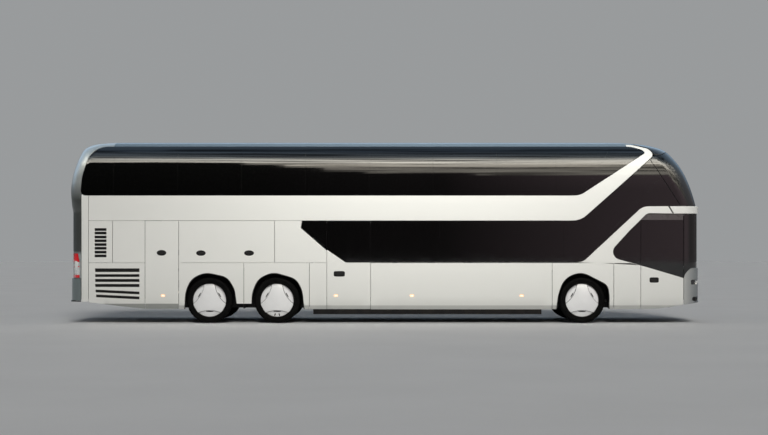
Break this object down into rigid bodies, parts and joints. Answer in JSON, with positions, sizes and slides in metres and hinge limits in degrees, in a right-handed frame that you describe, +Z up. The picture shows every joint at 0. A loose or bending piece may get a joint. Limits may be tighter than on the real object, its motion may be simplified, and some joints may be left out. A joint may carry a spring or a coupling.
{
  "type": "double-deck coach bus",
  "caption": "Double-deck touring coach with two glazed decks, swing doors, luggage flaps, steered front wheels and twin drive wheels ahead of a tag axle.",
  "frame": {"origin": "on the ground under the middle of the body", "axes": "+X forward, +Y to the vehicle's left, +Z up"},
  "size_m": [14, 2.55, 4],
  "materials": {
    "body_white": "gloss",
    "body_silver": "metallic gloss",
    "gloss_black": "gloss",
    "tinted_glass": "tinted",
    "frame_black": "matte",
    "steel": "satin",
    "floor": "matte",
    "seat_fabric": "woven",
    "dash_plastic": "grained",
    "engine_iron": "rough",
    "lamp_clear": "clear",
    "lamp_red": "gloss",
    "tyre": "rubber",
    "wheel_cover": "gloss"
  },
  "bodies": {
    "body": {"axles": "steel", "chassis_frame": "steel", "dashboard": "dash_plastic", "driver_seat": "seat_fabric", "engine": "engine_iron", "front_mask": "body_silver", "front_roof_cap": "gloss_black", "headlamps": "lamp_clear", "lower_floor": "floor", "lower_windows": "tinted_glass", "lower_windscreen": "tinted_glass", "luggage_bay": "floor", "passenger_seats": "seat_fabric", "pillar_band": "body_white", "rear_bumper": "body_silver", "rear_cap": "body_silver", "roof": "body_white", "side_panels_left": "body_white", "side_panels_right": "body_white", "stairs": "floor", "steering_wheel": "dash_plastic", "tail_lamps": "lamp_red", "upper_floor": "floor", "upper_side_band": "body_white", "upper_windows": "tinted_glass", "upper_windscreen": "tinted_glass", "wheelhouses": "frame_black", "window_pillars": "frame_black", "windscreen_band": "body_white"},
    "front_door": {"front_door": "body_white", "front_door_glass": "tinted_glass"},
    "front_door_arms": {"front_door_arms": "steel"},
    "mid_door": {"mid_door": "body_white", "mid_door_glass": "tinted_glass"},
    "mid_door_arms": {"mid_door_arms": "steel"},
    "engine_lid": {"engine_lid": "body_silver"},
    "front_left_knuckle": {"front_left_knuckle": "steel"},
    "front_right_knuckle": {"front_right_knuckle": "steel"},
    "luggage_flap_left": {"luggage_flap_left": "body_white"},
    "luggage_flap_right": {"luggage_flap_right": "body_white"},
    "service_flap_left": {"service_flap_left": "body_white"},
    "service_flap_right": {"service_flap_right": "body_white"},
    "engine_flap_left": {"engine_flap_left": "body_white"},
    "engine_flap_right": {"engine_flap_right": "body_white"},
    "front_left_wheel": {"front_left_wheel": "wheel_cover", "front_left_tyre": "tyre"},
    "front_right_wheel": {"front_right_wheel": "wheel_cover", "front_right_tyre": "tyre"},
    "drive_left_wheel": {"drive_left_wheel": "wheel_cover", "drive_left_tyres": "tyre"},
    "drive_right_wheel": {"drive_right_wheel": "wheel_cover", "drive_right_tyres": "tyre"},
    "tag_left_wheel": {"tag_left_wheel": "wheel_cover", "tag_left_tyre": "tyre"},
    "tag_right_wheel": {"tag_right_wheel": "wheel_cover", "tag_right_tyre": "tyre"}
  },
  "joints": [
    {"name": "steer_left", "type": "hinge", "parent": "body", "child": "front_left_knuckle", "pos_m": [4.312, 0.88, 0.5], "axis": [0, 0, 1], "range_deg": [-45, 45]},
    {"name": "steer_right", "type": "hinge", "parent": "body", "child": "front_right_knuckle", "pos_m": [4.312, -0.88, 0.5], "axis": [0, 0, 1], "range_deg": [-45, 45]},
    {"name": "front_left_wheel_spin", "type": "hinge", "parent": "front_left_knuckle", "child": "front_left_wheel", "pos_m": [4.312, 1.092, 0.5], "axis": [0, 1, 0], "continuous": true},
    {"name": "front_right_wheel_spin", "type": "hinge", "parent": "front_right_knuckle", "child": "front_right_wheel", "pos_m": [4.312, -1.092, 0.5], "axis": [0, 1, 0], "continuous": true},
    {"name": "drive_left_wheel_spin", "type": "hinge", "parent": "body", "child": "drive_left_wheel", "pos_m": [-2.38, 0.932, 0.5], "axis": [0, 1, 0], "continuous": true},
    {"name": "drive_right_wheel_spin", "type": "hinge", "parent": "body", "child": "drive_right_wheel", "pos_m": [-2.38, -0.932, 0.5], "axis": [0, 1, 0], "continuous": true},
    {"name": "tag_left_wheel_spin", "type": "hinge", "parent": "body", "child": "tag_left_wheel", "pos_m": [-3.862, 1.092, 0.5], "axis": [0, 1, 0], "continuous": true},
    {"name": "tag_right_wheel_spin", "type": "hinge", "parent": "body", "child": "tag_right_wheel", "pos_m": [-3.862, -1.092, 0.5], "axis": [0, 1, 0], "continuous": true},
    {"name": "front_door_swing", "type": "hinge", "parent": "body", "child": "front_door_arms", "pos_m": [6.455, -1.13, 1.2], "axis": [0, 0, 1], "range_deg": [0, 150]},
    {"name": "front_door_guide", "type": "hinge", "parent": "front_door_arms", "child": "front_door", "pos_m": [5.955, -1.085, 1.2], "axis": [0, 0, 1], "range_deg": [-150, 0]},
    {"name": "mid_door_swing", "type": "hinge", "parent": "body", "child": "mid_door_arms", "pos_m": [-0.398, -1.13, 1.2], "axis": [0, 0, 1], "range_deg": [0, 150]},
    {"name": "mid_door_guide", "type": "hinge", "parent": "mid_door_arms", "child": "mid_door", "pos_m": [-0.898, -1.085, 1.2], "axis": [0, 0, 1], "range_deg": [-150, 0]},
    {"name": "luggage_flap_left_hinge", "type": "hinge", "parent": "body", "child": "luggage_flap_left", "pos_m": [-3.48, 1.275, 2.24], "axis": [1, 0, 0], "range_deg": [0, 90]},
    {"name": "luggage_flap_right_hinge", "type": "hinge", "parent": "body", "child": "luggage_flap_right", "pos_m": [-3.48, -1.275, 2.24], "axis": [-1, 0, 0], "range_deg": [0, 90]},
    {"name": "service_flap_left_hinge", "type": "hinge", "parent": "body", "child": "service_flap_left", "pos_m": [-4.9, 1.275, 2.24], "axis": [1, 0, 0], "range_deg": [0, 90]},
    {"name": "service_flap_right_hinge", "type": "hinge", "parent": "body", "child": "service_flap_right", "pos_m": [-4.9, -1.275, 2.24], "axis": [-1, 0, 0], "range_deg": [0, 90]},
    {"name": "engine_flap_left_hinge", "type": "hinge", "parent": "body", "child": "engine_flap_left", "pos_m": [-5.88, 1.275, 1.319], "axis": [1, 0, 0], "range_deg": [0, 90]},
    {"name": "engine_flap_right_hinge", "type": "hinge", "parent": "body", "child": "engine_flap_right", "pos_m": [-5.88, -1.275, 1.319], "axis": [-1, 0, 0], "range_deg": [0, 90]},
    {"name": "engine_lid_hinge", "type": "hinge", "parent": "body", "child": "engine_lid", "pos_m": [-6.95, 0, 2.134], "axis": [0, 1, 0], "range_deg": [0, 85]}
  ],
  "couplings": [
    {"joint": "steer_right", "follows": "steer_left", "ratio": 1},
    {"joint": "front_door_guide", "follows": "front_door_swing", "ratio": -1},
    {"joint": "mid_door_guide", "follows": "mid_door_swing", "ratio": -1}
  ]
}
